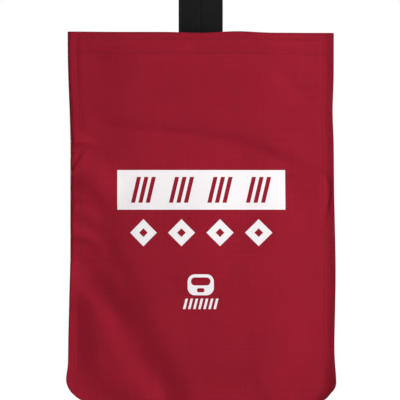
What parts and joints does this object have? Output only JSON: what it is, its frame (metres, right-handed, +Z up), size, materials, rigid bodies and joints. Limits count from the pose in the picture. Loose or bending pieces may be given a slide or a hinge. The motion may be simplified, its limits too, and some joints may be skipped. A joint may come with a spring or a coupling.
{
  "type": "mask bag",
  "caption": "Flat woven bag for a breathing mask, open at the top, with a fleece lining and a wide webbing hanging strap that closes on itself.",
  "frame": {"origin": "hang point: the middle of the underside of the strap's top fold", "axes": "+Z up, from the bag's bottom to the top of the strap; +Y out of the back of the bag, so the printed front faces -Y; +X to the right seen from the front"},
  "size_m": [0.305, 0.0263, 0.572],
  "materials": {
    "red_cloth": "coated plain weave nylon",
    "fleece": "brushed fleece",
    "webbing": "heavy woven webbing",
    "binding": "woven tape",
    "hook_tape": "stiff hooks",
    "loop_tape": "soft loops",
    "red_thread": "bonded thread",
    "black_thread": "bonded thread",
    "white_ink": "screen print"
  },
  "bodies": {
    "strap": {"strap_leg": "webbing", "strap_fold": "webbing", "loop_patch": "loop_tape", "loop_patch_stitches": "black_thread"},
    "flap": {"strap_flap": "webbing", "hook_patch": "hook_tape", "hook_patch_stitches": "black_thread", "flap_end_stitches": "black_thread"},
    "bag_back": {"back_panel": "red_cloth", "back_lining": "fleece", "seam_binding": "binding", "loop_closure": "loop_tape", "back_hem_stitches": "red_thread", "back_side_stitches": "red_thread", "strap_tail": "webbing", "tail_stitches": "black_thread"},
    "bag_front": {"front_panel": "red_cloth", "front_lining": "fleece", "hook_closure": "hook_tape", "front_hem_stitches": "red_thread", "front_side_stitches": "red_thread", "print_band": "white_ink", "lower_marks": "white_ink", "emblem": "white_ink"}
  },
  "joints": [
    {"name": "strap_tilt", "type": "hinge", "parent": "strap", "child": "bag_back", "pos_m": [0, -0.005, -0.1435], "axis": [1, 0, 0], "range_deg": [-80, 110]},
    {"name": "mouth_open", "type": "hinge", "parent": "bag_back", "child": "bag_front", "pos_m": [0, -0.013, -0.57], "axis": [1, 0, 0], "range_deg": [0, 8]},
    {"name": "flap_open", "type": "hinge", "parent": "strap", "child": "flap", "pos_m": [0, 0, -0.004], "axis": [1, 0, 0], "range_deg": [0, 170], "deforming": ["strap_fold"]}
  ]
}
